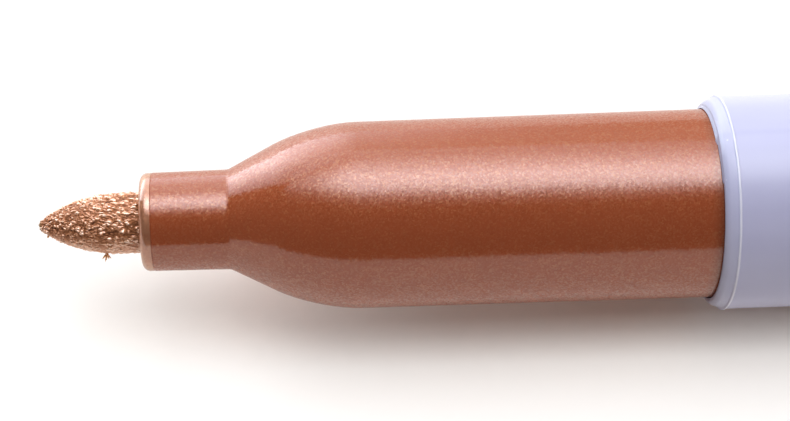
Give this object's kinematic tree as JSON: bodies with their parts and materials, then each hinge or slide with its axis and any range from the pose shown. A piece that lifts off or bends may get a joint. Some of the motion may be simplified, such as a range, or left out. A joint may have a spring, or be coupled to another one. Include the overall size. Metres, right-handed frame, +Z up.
{
  "type": "metallic marker",
  "caption": "Fine-point felt marker: bullet nib in a bottle-shaped bronze section, pale tapered barrel, rear plug, and a clip cap posted on the tail that pulls off.",
  "frame": {"origin": "on the surface the marker lies on, under the middle of its bounding box", "axes": "+X along the marker from the nib to the cap's end, +Z up; the clip points down and towards +Y, with one edge on the surface"},
  "size_m": [0.1616, 0.0138, 0.0119],
  "materials": {
    "bronze_plastic": "glossy moulded plastic with fine bronze pearl flakes",
    "barrel_plastic": "satin lavender-grey moulded plastic",
    "nib_fibre": "bonded fibre soaked in metallic bronze ink",
    "reservoir_fibre": "loose bonded fibre, wet with ink",
    "clear_film": "thin clear film",
    "liner_plastic": "soft natural white plastic"
  },
  "bodies": {
    "marker": {"nib": "nib_fibre", "front_section": "bronze_plastic", "barrel": "barrel_plastic", "ink_reservoir": "reservoir_fibre", "reservoir_film": "clear_film", "rear_plug": "bronze_plastic"},
    "posted_cap": {"cap": "bronze_plastic", "cap_liner": "liner_plastic"}
  },
  "joints": [
    {"name": "cap_pull", "type": "slide", "parent": "marker", "child": "posted_cap", "axis": [1, 0, 0], "range_m": [0, 0.025]}
  ]
}
